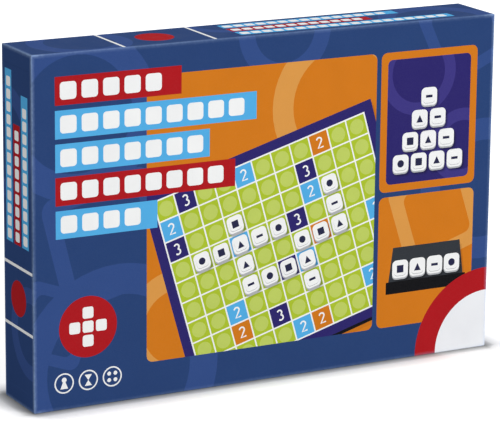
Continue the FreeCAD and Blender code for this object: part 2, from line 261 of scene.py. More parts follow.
class Print:
    """A flat printed sheet in millimetres: inks laid over one another in the order they are drawn."""

    def __init__(self, width, height, ground):
        self.width = width
        self.height = height
        self.ground = ground
        self.inks = []

    def ink(self, outline, shade, strength=1.0, inside=None, outside=None, tag=None):
        """Lay one ink down. It may carry a tag, and may show only inside or outside an earlier tag."""
        area = sum(a[0] * b[1] - b[0] * a[1] for a, b in zip(outline, outline[1:] + outline[:1]))
        self.inks.append((outline if area > 0 else outline[::-1], shade, strength, inside, outside, tag))

    def ghost_ring(self, u, v, outer, inner, shade, inside=None):
        """A tone-on-tone ring."""
        hole = f"hole {u} {v}"
        self.ink(disc(u, v, inner), shade, 0.0, tag=hole)
        self.ink(disc(u, v, outer), shade, inside=inside, outside=hole)

    def ghost_frame(self, u, v, side, width, degrees, shade, inside=None):
        """A tone-on-tone square frame with round corners."""
        def square(half):
            return turned(rounded(-half, -half, half, half, half / 4), u, v, degrees)

        hole = f"hole {u} {v}"
        self.ink(square(side / 2 - width), shade, 0.0, tag=hole)
        self.ink(square(side / 2), shade, inside=inside, outside=hole)

    def tile(self, u, v, side, mark, degrees=0.0, inside=None):
        """A picture of a tile with a soft shadow, a shaded side and a plain mark on its pad."""
        def slab(half, shade, strength=1.0, right=0.0, down=0.0):
            outline = rounded(-half, -half, half, half, half / 2)
            self.ink(turned(outline, u + side * right, v - side * down, degrees), shade, strength, inside)

        body = side / 2
        pad = body * 0.74
        size = body * 0.42
        dash = size * 0.35
        for grow, strength in ((1.2, 0.12), (1.1, 0.2), (1.0, 0.3)):
            slab(body * grow, BLACK, strength, right=0.09, down=0.16)
        slab(body, TILE_SHADE, down=0.09)
        slab(body, WHITE)
        slab(pad, TILE_SHADE, down=0.03)
        slab(pad, WHITE)
        marks = (disc(0, 0, size, 24), rectangle(-size, -size, size, size),
                 [(-size, -size), (size, -size), (0, size)], rectangle(-size, -dash, size, dash))
        self.ink(turned(marks[mark % len(marks)], u, v, degrees), MARK, inside=inside)

    def bar(self, u, v, length, height, shade, upright=False):
        """A coloured bar that carries a row of blank white squares, lying or upright."""
        def lay(points):
            return [(u - y, v + x) for x, y in points] if upright else [(u + x, v + y) for x, y in points]

        self.ink(lay(rectangle(0, 0, length, height)), shade)
        side = 0.62 * height
        margin = (height - side) / 2
        count = int((length - margin) // (side + margin))
        for number in range(count):
            start = margin + number * (side + margin)
            self.ink(lay(rounded(start, margin, start + side, margin + side, side / 5)), WHITE)

    def cut(self):
        """Corners, triangles and the colour of each triangle."""
        outlines = [rectangle(0, 0, self.width, self.height)] + [ink[0] for ink in self.inks]
        points, faces = [], []
        for outline in outlines:
            faces.append(list(range(len(points), len(points) + len(outline))))
            points += [Vector(point) for point in outline]
        keep_all, nearest = 0, 1e-5
        corners, _, triangles, _, _, sources = delaunay_2d_cdt(points, [], faces, keep_all, nearest)
        kept, shades = [], []
        for triangle, source in zip(triangles, sources):
            if 0 not in source:
                continue
            shade = Vector(self.ground)
            tags = set()
            for number in sorted(set(source) - {0}):
                _, over, strength, inside, outside, tag = self.inks[number - 1]
                if (inside and inside not in tags) or (outside and outside in tags):
                    continue
                shade = shade.lerp(Vector(over), strength)
                if tag:
                    tags.add(tag)
            kept.append(triangle)
            shades.append(tuple(shade))
        used = sorted({index for triangle in kept for index in triangle})
        place = {index: number for number, index in enumerate(used)}
        triangles = [[place[index] for index in triangle] for triangle in kept]
        return [corners[index] for index in used], triangles, shades


def add_object(name, data):
    made = bpy.data.objects.new(name, data)
    bpy.context.scene.collection.objects.link(made)
    return made


class Sheet:
    """A mesh put together from flat prints and folded strips: each face has an ink colour, and each
    point has its place on the sheet before it was folded, in millimetres."""

    def __init__(self):
        self.points = []
        self.flat = []
        self.faces = []
        self.shades = []

    def add_face(self, corners, flat, shade):
        start = len(self.points)
        self.points += corners
        self.flat += flat
        self.faces.append(range(start, start + len(corners)))
        self.shades.append(shade)

    def add_print(self, design, origin, along_u, along_v, unfold):
        """Lay a print down from its lower left corner along two directions. unfold gives the place of
        a point on the flat sheet."""
        corners, triangles, shades = design.cut()
        start = len(self.points)
        laid = [origin + along_u * (c.x * MM) + along_v * (c.y * MM) for c in corners]
        self.points += laid
        self.flat += [unfold(point) for point in laid]
        self.faces += [[start + index for index in triangle] for triangle in triangles]
        self.shades += shades

    def make(self, name, material):
        mesh = bpy.data.meshes.new(name)
        mesh.from_pydata([tuple(point) for point in self.points], [], [list(face) for face in self.faces])
        inks = mesh.attributes.new("ink", "FLOAT_COLOR", "CORNER")
        for face, shade in zip(mesh.polygons, self.shades):
            for loop in face.loop_indices:
                inks.data[loop].color = shade
        ends = [(min(places), max(places)) for places in zip(*self.flat)]
        unfolded = mesh.uv_layers.new(name="OFBake")
        for loop, spot in zip(mesh.loops, unfolded.data):
            spot.uv = [(place - first) / (last - first)
                       for place, (first, last) in zip(self.flat[loop.vertex_index], ends)]
        mesh.polygons.foreach_set("use_smooth", [False] * len(mesh.polygons))
        mesh.materials.append(material)
        return add_object(name, mesh)


def face_reach(tree, node):
    """How far a point lies inside the sides of its sheet's box, along each axis."""
    axes = own_axes(tree)
    reach = []
    for axis, first, last in zip("XYZ", *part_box(node)):
        from_first = calculate(tree, "SUBTRACT", axes[axis], first)
        reach.append(calculate(tree, "MINIMUM", from_first, calculate(tree, "SUBTRACT", last, axes[axis])))
    return reach


def fold_wear_and_highlight(tree, reach):
    """How much lighter a box-shaped sheet is along its folds, most at short ends and corners: partly ink
    rubbed off, partly a painted highlight on the rounded folds.
    """
    to_face = calculate(tree, "MINIMUM", *reach)
    to_corner = calculate(tree, "MAXIMUM", *reach)
    to_fold = calculate(tree, "SUBTRACT", calculate(tree, "ADD", *reach), to_face, to_corner)
    ragged = map_range(tree, noise(tree, 420.0, 6.0), 0.25, 0.75, -0.4 * MM, 0.4 * MM)
    to_fold = calculate(tree, "ADD", to_fold, ragged)
    # Both bands lighten the folds: partly ink rubbed off, partly a painted highlight on the rounded folds.
    rubbed = map_range(tree, to_fold, 0.5 * MM, 3.0 * MM, 0.25, 0.0)
    bare = map_range(tree, to_fold, 0.1 * MM, 1.2 * MM, 0.25, 0.0)
    at_corners = map_range(tree, to_corner, 40.0 * MM, 200.0 * MM, 1.0, 0.4)
    at_ends = map_range(tree, reach[0], 3.0 * MM, 12.0 * MM, 1.0, 0.4)
    ends_and_corners = calculate(tree, "MINIMUM", at_corners, at_ends)
    uneven = map_range(tree, noise(tree, 11.0, 3.0), 0.35, 0.65, 0.6, 1.0)
    return calculate(tree, "MULTIPLY", calculate(tree, "ADD", rubbed, bare), ends_and_corners, uneven)


def tab_ridges(tree, reach):
    """1 where the corner tabs of the long sides lie under the paper of the short sides."""
    on_tab = map_range(tree, reach[2], 12.6 * MM, 13.4 * MM, 1.0, 0.0)
    on_end = map_range(tree, reach[0], 0.5 * MM, 1.0 * MM, 1.0, 0.0)
    return calculate(tree, "MULTIPLY", on_tab, on_end)


def print_material(name, node, worn, gloss):
    """Varnished print: mottled ink, paper grain under the varnish, and folds lightened towards a pale colour,
    partly as paper that shows through worn ink, partly as a painted highlight.
    """
    material, tree, shader = new_material(name)
    ink = add_node(tree, "ShaderNodeAttribute", {}, attribute_name="ink").outputs["Color"]
    mottle = map_range(tree, noise(tree, 38.0, 4.0), 0.3, 0.7, 0.0, 0.08)
    grain = map_range(tree, noise(tree, 1900.0, 2.0), 0.35, 0.65, 0.0, 0.012)
    shade = mix_colours(tree, mottle, ink, colour(170, 174, 180), "MULTIPLY")
    shade = mix_colours(tree, grain, shade, WHITE)
    reach = face_reach(tree, node)
    # The folds are lightened towards the worn colour: wear with a painted highlight in it.
    wear = fold_wear_and_highlight(tree, reach)
    rough = map_range(tree, noise(tree, 60.0, 5.0), 0.3, 0.7, gloss - 0.04, gloss + 0.07)
    waves = bump(tree, noise(tree, 14.0, 1.0), 1.2 * MM, 0.35, eased_edges(tree, 1.6 * MM))
    ridges = bump(tree, tab_ridges(tree, reach), 0.15 * MM, 1.0, waves)
    set_inputs(tree, shader, {
        "Base Color": mix_colours(tree, wear, shade, worn),
        "Roughness": calculate(tree, "ADD", rough, calculate(tree, "MULTIPLY", wear, 0.5)),
        "Normal": bump(tree, noise(tree, 1500.0, 3.0), 0.02 * MM, 0.35, ridges),
        "Specular IOR Level": 0.005,
    })
    return material


# In millimetres: the round of a fold and of the rim, the wall with the paper on both its sides, the
# paper, and how far it is turned in
FOLD = 0.8
RIM_EDGE = 0.7
WALL = 2.0
LINING = 0.25
TURN_IN = 15.25
SHARPEST = 0.08


def wrap_loop(low, high, inset, y):
    """The four round corners of a wrap at one depth, anticlockwise from the lower left."""
    radius = max(FOLD - inset, SHARPEST)
    points = []
    for side_x, side_z, start in ((-1, -1, 180), (1, -1, 270), (1, 1, 0), (-1, 1, 90)):
        centre_x = (low.x if side_x < 0 else high.x) - side_x * (inset + radius) * MM
        centre_z = (low.z if side_z < 0 else high.z) - side_z * (inset + radius) * MM
        for angle in quarter_turn(start):
            points.append(Vector((centre_x + radius * MM * math.cos(angle), y,
                                  centre_z + radius * MM * math.sin(angle))))
    return points


def edge_inks(sheet, first, last):
    """The inks that run off one edge of a panel: start and end along the edge, and the colour."""
    along = last - first
    inks = []
    for face, shade in zip(sheet.faces, sheet.shades):
        on_edge = []
        for index in face:
            offset = sheet.points[index] - first
            share = offset.dot(along) / along.length_squared
            if (offset - along * share).length < 0.001 * MM:
                on_edge.append(min(max(share, 0.0), 1.0))
        if len(on_edge) == 2:
            inks.append((min(on_edge), max(on_edge), shade))
    return sorted(inks)


def make_wrap(node, material, panel, long_side, short_side, inward):
    """A paper wrap: its panel, four sides, the folds between them and the rim turned inside. inward is 1
    or -1, the way that its sides go from the panel along Y."""
    low, high = (Vector(corner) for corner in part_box(node))
    closed = low.y if inward > 0 else high.y
    rim = high.y if inward > 0 else low.y

    # The wrap cut across: inset in millimetres and Y, from the panel over the rim to the inner edge
    rises = [(1 - math.cos(angle), 1 - math.sin(angle)) for angle in quarter_turn()]
    fold = [(FOLD * ahead, closed + inward * FOLD * aside * MM) for aside, ahead in rises]
    outer_rim = [(RIM_EDGE * aside, rim - inward * RIM_EDGE * ahead * MM) for aside, ahead in rises]
    inner_rim = [(WALL - RIM_EDGE * ahead, rim - inward * RIM_EDGE * aside * MM) for aside, ahead in rises]
    turned_in = [(inset, rim - inward * TURN_IN * MM) for inset in (WALL, WALL - LINING)]
    profile = fold + outer_rim + inner_rim + turned_in
    skirt = len(fold)
    fold_y = fold[-1][1]

    # How far each of these lies from the panel's edge along the paper
    runs = [0.0]
    for (inset, y), (next_inset, next_y) in zip(profile, profile[1:]):
        runs.append(runs[-1] + math.hypot(next_inset - inset, (next_y - y) / MM))

    def unfold(point, side, inset, run):
        """A point's place on the flat sheet. Side 0 is below the panel, 1 to 3 follow anticlockwise."""
        x, z = point.x / MM, point.z / MM
        if side == 0:
            x += math.copysign(z - low.z / MM - inset, x)
            z = low.z / MM + FOLD - run
        elif side == 1:
            x = high.x / MM - FOLD + run
        elif side == 2:
            x += math.copysign(high.z / MM - inset - z, x)
            z = high.z / MM - FOLD + run
        else:
            x = low.x / MM + FOLD - run
        return inward * x, z

    def unfold_side(side):
        return lambda point: unfold(point, side, 0.0, runs[skirt - 1] + abs(point.y - fold_y) / MM)

    def unfold_panel(point):
        return inward * point.x / MM, point.z / MM

    sheet = Sheet()
    edge = FOLD * MM
    across = Vector((1, 0, 0))
    up = Vector((0, 0, 1))
    back = Vector((0, 1, 0))
    if inward > 0:
        sheet.add_print(panel, Vector((low.x + edge, closed, low.z + edge)), across, up, unfold_panel)
    else:
        sheet.add_print(panel, Vector((high.x - edge, closed, low.z + edge)), -across, up, unfold_panel)

    loops = [wrap_loop(low, high, inset, y) for inset, y in profile]
    count = len(loops[0])
    ends = range(CORNER_STEPS, count, CORNER_STEPS + 1)
    panel_inks = [edge_inks(sheet, loops[0][end], loops[0][(end + 1) % count]) for end in ends]
    for number, (near, far) in enumerate(zip(loops, loops[1:]), start=1):
        for here in range(count):
            there = (here + 1) % count
            side, step = divmod(here, CORNER_STEPS + 1)
            straight = step == CORNER_STEPS
            if number == skirt and straight:
                continue
            inks = [(0.0, 1.0, panel.ground)]
            if number < skirt:
                inks = panel_inks[side] if straight else [(0.0, 1.0, panel_inks[side][0][2])]
            # The corners of the wrap are cut from the long sides of the sheet
            beside = side if straight else (0, 0, 2, 2)[side]
            for first, last, shade in inks:
                quad = [near[here].lerp(near[there], first), far[here].lerp(far[there], first),
                        far[here].lerp(far[there], last), near[here].lerp(near[there], last)]
                flat = [unfold(point, beside, profile[ring][0], runs[ring])
                        for point, ring in zip(quad, (number - 1, number, number, number - 1))]
                sheet.add_face(quad[::inward], flat[::inward], shade)

    front_y = closed + edge if inward > 0 else rim + RIM_EDGE * MM
    back_y = rim - RIM_EDGE * MM if inward > 0 else closed - edge
    sheet.add_print(long_side, Vector((low.x + edge, front_y, high.z)), across, back, unfold_side(2))
    sheet.add_print(long_side, Vector((low.x + edge, back_y, low.z)), across, -back, unfold_side(0))
    sheet.add_print(short_side, Vector((low.x, back_y, low.z + edge)), -back, up, unfold_side(3))
    sheet.add_print(short_side, Vector((high.x, front_y, low.z + edge)), back, up, unfold_side(1))
    made = sheet.make(f"{node}_print", material)
    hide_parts(node)
    return made


def flat_size(node):
    """Width, height and depth of a wrap's flat faces, inside its folds."""
    low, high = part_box(node)
    return ((high[0] - low[0]) / MM - 2 * FOLD, (high[2] - low[2]) / MM - 2 * FOLD,
            (high[1] - low[1]) / MM - FOLD - RIM_EDGE)


def squared_field(design, u, v, columns, rows, pitch, degrees, inside, bonus):
    """A squared playing field, turned about its middle, with its soft shadow, black edge, dark border and
    squares. bonus gives the colour and number of a square."""
    half_u = columns * pitch / 2
    half_v = rows * pitch / 2
    border = 0.5 * pitch
    line = 0.6
    gap = 0.035 * pitch

    def lay(outline, shade, strength=1.0, right=0.0, down=0.0):
        design.ink(turned(outline, u + right, v - down, degrees), shade, strength, inside)

    field = rectangle(-half_u - border, -half_v - border, half_u + border, half_v + border)
    lay(field, BLACK, 0.12, right=3.2, down=5.12)
    lay(field, BLACK, 0.18, right=1.6, down=2.56)
    lay(field, BLACK, right=0.8, down=2.6)
    lay(field, NAVY)
    lay(rectangle(-half_u - line, -half_v - line, half_u + line, half_v + line), WHITE)
    for column in range(columns):
        for row in range(rows):
            left = column * pitch - half_u
            foot = row * pitch - half_v
            shade, digit = bonus(column, row)
            lay(rectangle(left + gap, foot + gap, left + pitch - gap, foot + pitch - gap), shade)
            middle = (left + pitch / 2, foot + pitch / 2)
            if digit:
                lay(numeral(digit, *middle, 0.5 * pitch), WHITE)
            else:
                lay(disc(*middle, 0.36 * pitch, 16), PALE_GREEN, 0.55)


def diagram(design, left, foot, words):
    """A small squared field on an orange card, where a row and a column of tiles cross."""
    cell, square, margin = 16.2, 15.4, (12, 15)

    def corner(column, row):
        return left + margin[0] + cell * column, foot + margin[1] + cell * row

    def lay_tile(column, row, mark):
        u, v = corner(column, row)
        design.tile(u + square / 2, v + square / 2, 13, mark)

    design.ink(rounded(left, foot, left + 104, foot + 96, 6), ORANGE)
    for column in range(5):
        for row in range(4):
            u, v = corner(column, row)
            design.ink(rectangle(u, v, u + square, v + square), GREEN if (column + row) % 3 else PALE_GREEN)
    for step in range(2 + words):
        lay_tile(step + 1, 1 + words % 2, step)
    for step in range(1 + words):
        lay_tile(2, 3 - step, step + 1)


# Places on a print are in millimetres, right and up from its lower left corner
width, height, depth = flat_size("base_wrap")
back_panel = Print(width, height, BLUE)
for ring in ((60, 220, 74, 52), (330, 60, 88, 64), (190, 140, 120, 96), (372, 250, 46, 30), (20, 40, 52, 36)):
    back_panel.ghost_ring(*ring, GHOST_BLUE)
back_panel.ghost_frame(300, 210, 92, 14, 20, GHOST_BLUE)
back_panel.ghost_frame(110, 90, 110, 16, -15, GHOST_BLUE)
for number in range(3):
    diagram(back_panel, 26 + 118 * number, 150, number)
back_panel.ink(rounded(26, 22, 250, 132, 6), colour(232, 235, 240))
back_panel.ink(rounded(264, 22, 368, 132, 6), colour(60, 92, 150))
base_long_side = Print(width, depth, BLUE)
base_short_side = Print(depth, height, BLUE)
# Its folds are lightened towards this pale blue: partly worn paper, partly a painted highlight.
base_print = print_material("base_print", "base_wrap", colour(184, 212, 252), 0.55)
base_sheet = make_wrap("base_wrap", base_print, back_panel, base_long_side, base_short_side, -1)
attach(base_sheet, "base")


# Tray: one sheet of coloured plastic, softened and drawn down by vacuum into wells for the tiles,
# racks and leaflet. It stands loose on the floor of the base.

def plastic_material(name, dark, light, worn, gloss, grain, depth, sheen=0.3):
    """Moulded plastic: slight flow marks, surface grain, rubbed edges."""
    material, tree, shader = new_material(name)
    flow = noise(tree, 30.0, 3.0, (1.0, 1.0, 0.4))
    fine = noise(tree, grain, 2.0)
    wear = edge_wear(tree, 0.5 * MM, 0.03, 0.28)
    shade = mix_colours(tree, map_range(tree, flow, 0.3, 0.7, 0.0, 1.0), dark, light)
    set_inputs(tree, shader, {
        "Base Color": mix_colours(tree, wear, shade, worn),
        "Roughness": map_range(tree, fine, 0.3, 0.7, gloss - 0.05, gloss + 0.08),
        "Normal": bump(tree, fine, depth * MM, 0.4),
        "Specular IOR Level": sheen,
    })
    return material


# In millimetres: the sheet, the round lip of a well, its play, a finger gap's width and how much
# longer than its well it is, then where the wells lie
TRAY_SHEET = 0.8
WELL_LIP = 0.6
WELL_CLEAR = 0.05
FINGER = 26.0
FINGER_REACH = 18.0
TILE_WELL = (0.0, 186.133, 130.7, 114.4)
LEAFLET_WELL = (0.0, 67.167, 115.0, 73.0)
RACK_MIDDLE = 137.0
RACK_ZONE = 129.975
RACK_SHIFT = 21.5
GROOVE_SHIFTS = (94.55, 108.55)

# Each well's centre, width, height, depth, corner radius and the lean of its wall
wells = [
    (*TILE_WELL, 9.4, 4.0, 0.3),
    (*TILE_WELL[:2], FINGER, TILE_WELL[3] + FINGER_REACH, 9.4, 4.0, 0.8),
    (*LEAFLET_WELL, 1.8, 4.0, 0.8),
    (*LEAFLET_WELL[:2], FINGER, LEAFLET_WELL[3] + FINGER_REACH, 8.0, 4.0, 1.2),
]
for side in (-RACK_ZONE, RACK_ZONE):
    for shift in (-RACK_SHIFT, RACK_SHIFT):
        wells.append((side + shift, RACK_MIDDLE, 31.0, 143.0, 21.5, 4.0, 1.0))
    wells.append((side, RACK_MIDDLE, 92.0, FINGER, 16.0, 4.0, 1.2))
    for end in (-1, 1):
        for shift in GROOVE_SHIFTS:
            wells.append((side, RACK_MIDDLE + end * shift, 74.0, 7.0, 1.2, 2.8, 1.0))


def well_depth(x, z):
    """How far the sheet is drawn down at one place of the deck."""
    deepest = 0.0
    for centre_x, centre_z, width, height, depth, corner, lean in wells:
        off_x = abs(x - centre_x) - (width / 2 - corner)
        off_z = abs(z - centre_z) - (height / 2 - corner)
        outside = math.hypot(max(off_x, 0), max(off_z, 0)) + min(max(off_x, off_z), 0) - corner
        part = min(max((WELL_LIP - outside) / (WELL_LIP + lean), 0), 1)
        deepest = max(deepest, (depth + WELL_CLEAR) * part * part * (3 - 2 * part))
    return deepest


def grid_lines(low, high, edges):
    """Lines across the deck, close together where a wall goes down or a corner turns."""
    parts, border, closest = 8, 0.8, 0.25
    wall_insets = (-1.1, -0.6, -0.3, 0, 0.4, 0.8, 1.2, 1.9, 2.8, 4)
    lines = {round(low + (high - low) * part / parts, 3) for part in range(parts + 1)}
    lines.update((low + border, high - border))
    for middle, half in edges:
        for inset in wall_insets:
            lines.update((round(middle - half + inset, 3), round(middle + half - inset, 3)))
    ordered = []
    for line in sorted(line for line in lines if low <= line <= high):
        if not ordered or line - ordered[-1] > closest:
            ordered.append(line)
    return ordered


tray_low, tray_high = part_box("tray")
DECK_EDGE = 1.2
xs = grid_lines(tray_low[0] / MM + DECK_EDGE, tray_high[0] / MM - DECK_EDGE,
                {(x, w / 2) for x, _, w, *_ in wells})
zs = grid_lines(tray_low[2] / MM + DECK_EDGE, tray_high[2] / MM - DECK_EDGE,
                {(z, h / 2) for _, z, _, h, *_ in wells})
deck = tray_low[1] / MM
corners = [(x, deck + well_depth(x, z), z) for z in zs for x in xs]
count = len(xs)
last_column = count - 1
last_row = len(zs) - 1
faces = []
for row in range(last_row):
    for here in range(row * count, row * count + last_column):
        faces.append((here, here + 1, here + count + 1, here + count))

# The rim of the deck is rounded over and goes down to the floor of the base as a skirt
border = [(column, 0) for column in range(count)]
border += [(last_column, row) for row in range(1, last_row + 1)]
border += [(column, last_row) for column in range(last_column - 1, -1, -1)]
border += [(0, row) for row in range(last_row - 1, 0, -1)]
ring = [row * count + column for column, row in border]
skirt = tray_high[1] / MM - deck
rim_profile = [(0.46, 0.1), (0.85, 0.35), (1.1, 0.74)] + [(DECK_EDGE, drop) for drop in (1.2, 2.0, skirt)]
for out, drop in rim_profile:
    start = len(corners)
    for column, row in border:
        step_x = -out if column == 0 else out if column == last_column else 0
        step_z = -out if row == 0 else out if row == last_row else 0
        corners.append((xs[column] + step_x, deck + drop, zs[row] + step_z))
    outer = list(range(start, len(corners)))
    for here in range(len(ring)):
        there = (here + 1) % len(ring)
        faces.append((ring[here], outer[here], outer[there], ring[there]))
    ring = outer
mesh = bpy.data.meshes.new("tray_sheet")
mesh.from_pydata([(x * MM, y * MM, z * MM) for x, y, z in corners], [], faces)
mesh.polygons.foreach_set("use_smooth", [True] * len(mesh.polygons))
tray_plastic = plastic_material("tray_plastic", colour(22, 34, 74), colour(29, 44, 90), colour(70, 90, 140),
                                0.46, 420.0, 0.004, 0.15)
mesh.materials.append(tray_plastic)
tray = add_object("tray_sheet", mesh)
thickness = tray.modifiers.new("sheet", "SOLIDIFY")
thickness.thickness = TRAY_SHEET * MM
thickness.offset = -1.0
flat_faces = tray.modifiers.new("flat_faces", "WEIGHTED_NORMAL")
flat_faces.weight = 80
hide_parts("tray")
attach(tray, "tray")


# Letter racks: black moulded wedges, hollow below, with a sloping back and a ledge that holds a row
# of tiles. They lie loose in the tray.

rack_plastic = plastic_material("rack_plastic", colour(24, 25, 28), colour(34, 36, 39), colour(88, 90, 94),
                                0.42, 1400.0, 0.05)
for number in range(1, 5):
    dress(f"rack_{number}", rack_plastic)


# Rules leaflet: one sheet of thin white paper, folded once and printed in grey lines.

LINES_PER_METRE = 210.0
COLUMNS_PER_METRE = 19.0
HALF_TEXT = 0.03
leaflet_paper, tree, shader = new_material("leaflet_paper")
axes = own_axes(tree)
leaflet_low, leaflet_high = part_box("rules_leaflet")
rows = calculate(tree, "FRACT", calculate(tree, "MULTIPLY", axes["Z"], LINES_PER_METRE), 0.0)
on_line = calculate(tree, "LESS_THAN", rows, 0.32)
in_word = calculate(tree, "GREATER_THAN", noise(tree, 330.0, 0.0, (1.0, 0.0, 9.0)), 0.43)
from_left = calculate(tree, "ADD", axes["X"], 0.5)
columns = calculate(tree, "FRACT", calculate(tree, "MULTIPLY", from_left, COLUMNS_PER_METRE), 0.0)
in_column = calculate(tree, "GREATER_THAN", columns, 0.1)
from_middle = calculate(tree, "SUBTRACT", axes["Z"], (leaflet_low[2] + leaflet_high[2]) / 2)
from_middle = calculate(tree, "ABSOLUTE", from_middle, 0.0)
in_margins = map_range(tree, from_middle, HALF_TEXT - 0.1 * MM, HALF_TEXT, 1.0, 0.0)
text = calculate(tree, "MULTIPLY", on_line, in_word, in_column, in_margins)
fibres = noise(tree, 1200.0, 5.0)
paper = mix_colours(tree, fibres, colour(226, 226, 220), colour(240, 240, 236))
paper = mix_colours(tree, calculate(tree, "MULTIPLY", text, 0.7), paper, colour(96, 98, 104))
set_inputs(tree, shader, {
    "Base Color": mix_colours(tree, edge_wear(tree, 0.4 * MM, 0.05, 0.3), paper, colour(246, 246, 244)),
    "Roughness": map_range(tree, fibres, 0.3, 0.7, 0.7, 0.85),
    "Normal": bump(tree, fibres, 0.04 * MM, 0.3),
})
dress("rules_leaflet", leaflet_paper)


# Letter tiles: small moulded slabs of ivory plastic with a raised pad, so that they stack. Each has
# its letter printed on the pad in dark ink, and four are left blank. They lie loose in the tray.

tile_plastic = plastic_material("tile_plastic", colour(228, 224, 212), colour(240, 237, 228),
                                colour(250, 249, 244), 0.22, 500.0, 0.03)
letter_ink, tree, shader = new_material("letter_ink")
spots = noise(tree, 2600.0, 3.0)
set_inputs(tree, shader, {
    "Base Color": mix_colours(tree, map_range(tree, spots, 0.55, 0.75, 0.0, 0.5), colour(26, 28, 60),
                              colour(70, 72, 100)),
    "Roughness": map_range(tree, spots, 0.3, 0.7, 0.34, 0.5),
    "Normal": bump(tree, spots, 0.02 * MM, 0.3),
})
LETTER_PILES = {
    "a": 4, "b": 1, "c": 2, "d": 2, "e": 5, "f": 1, "g": 1, "h": 1, "i": 4, "j": 1, "k": 1, "l": 3, "m": 2,
    "n": 3, "o": 4, "p": 2, "q": 1, "r": 3, "s": 3, "t": 3, "u": 2, "v": 1, "w": 1, "x": 1, "y": 1, "z": 1,
    "blank": 2,
}
TILE_COLUMNS = 8
TILE_PITCH = 16.3
HALF_TILE = 7.8
LAYER_RISE = 4.4
LETTER_HEIGHT = 7.6
INK_THICK = 0.06
tile_low, tile_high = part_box("tiles_a")
first_x = tile_low[0] / MM + HALF_TILE
first_z = tile_high[2] / MM - HALF_TILE
tile_layers = (tile_low[1], tile_low[1] + LAYER_RISE * MM)


def letter_shape(letter):
    """The outline of one letter as a thin printed slab, centred on the origin and facing -Y."""
    half = 0.5
    curve = bpy.data.curves.new(f"letter_{letter}", "FONT")
    curve.body = letter.upper()
    curve.extrude = half
    curve.resolution_u = 3
    text = add_object(f"letter_{letter}_text", curve)
    bpy.context.view_layer.update()
    mesh = bpy.data.meshes.new_from_object(text.evaluated_get(bpy.context.evaluated_depsgraph_get()))
    bpy.data.objects.remove(text)
    xs = [v.co.x for v in mesh.vertices]
    ys = [v.co.y for v in mesh.vertices]
    scale = LETTER_HEIGHT * MM / (max(ys) - min(ys))
    middle = ((max(xs) + min(xs)) / 2, (max(ys) + min(ys)) / 2)
    corners = [((v.co.x - middle[0]) * scale, -(v.co.z + half) * INK_THICK * MM,
                (v.co.y - middle[1]) * scale) for v in mesh.vertices]
    faces = [tuple(face.vertices) for face in mesh.polygons]
    bpy.data.meshes.remove(mesh)
    return corners, faces


pile = 0
for letter, piles in LETTER_PILES.items():
    dress(f"tiles_{letter}", tile_plastic)
    if letter != "blank":
        shape, shape_faces = letter_shape(letter)
        corners, faces = [], []
        for number in range(pile, pile + piles):
            row, column = divmod(number, TILE_COLUMNS)
            for top in tile_layers:
                start = len(corners)
                x = (first_x + TILE_PITCH * column) * MM
                z = (first_z - TILE_PITCH * row) * MM
                corners += [(cx + x, cy + top, cz + z) for cx, cy, cz in shape]
                faces += [tuple(start + index for index in face) for face in shape_faces]
        mesh = bpy.data.meshes.new(f"letters_{letter}")
        mesh.from_pydata(corners, [], faces)
        mesh.materials.append(letter_ink)
        letters = add_object(f"letters_{letter}", mesh)
        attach(letters, f"tiles_{letter}")
    pile += piles


# Game board core: one rigid panel of grey board, cut to lie unfolded in the box.

dress("game_board_core", grey_board)


# Game board back: black paper with a linen emboss, glued over the back of the panel and round its
# four edges.

board_backing, tree, shader = new_material("board_backing")
thread = {"Vector": own_place(tree), "Scale": 420.0, "Distortion": 1.2, "Detail": 2.0}
weave = calculate(tree, "MAXIMUM", *(
    add_node(tree, "ShaderNodeTexWave", thread, bands_direction=axis).outputs["Fac"] for axis in "XZ"))
cloth = mix_colours(tree, weave, colour(14, 14, 16), colour(30, 30, 33))
set_inputs(tree, shader, {
    "Base Color": mix_colours(tree, edge_wear(tree, 0.5 * MM, 0.04, 0.28), cloth, colour(112, 112, 114)),
    "Roughness": map_range(tree, weave, 0.0, 1.0, 0.62, 0.46),
    "Normal": bump(tree, weave, 0.06 * MM, 0.6),
})
dress("game_board_back", board_backing)


# Game board face: the printed sheet on the front of the panel, with 15 by 15 squares for the tiles
# and two plain panels beside them. A few squares carry a plain number.

SQUARES = 15
SQUARE = 16.4


def face_square(column, row):
    """Colour and number of one square of the playing field, alike in its four quarters."""
    from_middle = (abs(column - SQUARES // 2), abs(row - SQUARES // 2))
    if from_middle == (0, 0):
        return RED, 0
    if from_middle in ((7, 4), (4, 7), (3, 3)):
        return ORANGE, 3
    if from_middle in ((6, 6), (5, 2), (2, 5), (0, 4), (4, 0)):
        return SKY, 2
    if from_middle in ((7, 0), (0, 7)):
        return NAVY, 2
    return GREEN, 0


face_low, face_high = (Vector(corner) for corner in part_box("game_board_face"))
face_print = Print((face_high.x - face_low.x) / MM, (face_high.z - face_low.z) / MM, NAVY)
face_print.ink(rectangle(0, 0, face_print.width, face_print.height), NAVY, tag="sheet")
for ring in ((322, 190, 62, 44), (352, 60, 70, 50), (300, 20, 40, 26)):
    face_print.ghost_ring(*ring, GHOST_NAVY)
squared_field(face_print, 131, face_print.height / 2, SQUARES, SQUARES, SQUARE, 0, "sheet", face_square)
face_print.ink(rounded(276, 150, 374, 246, 6), ORANGE)
face_print.ink(rounded(276, 16, 374, 136, 6), colour(66, 60, 140))
for column in range(3):
    for row in range(3):
        u, v = 291 + 24 * column, 164 + 24 * row
        face_print.ink(rounded(u, v, u + 20, v + 20, 4), WHITE, 0.25)


def unfold_face(point):
    """A point's place on the board's printed sheet, with the cut edge laid out around it."""
    spread = 1 + (point.y - face_low.y) / face_high.x
    middle = (face_low + face_high) / 2
    return (point.x - middle.x) * spread / MM, (point.z - middle.z) * spread / MM


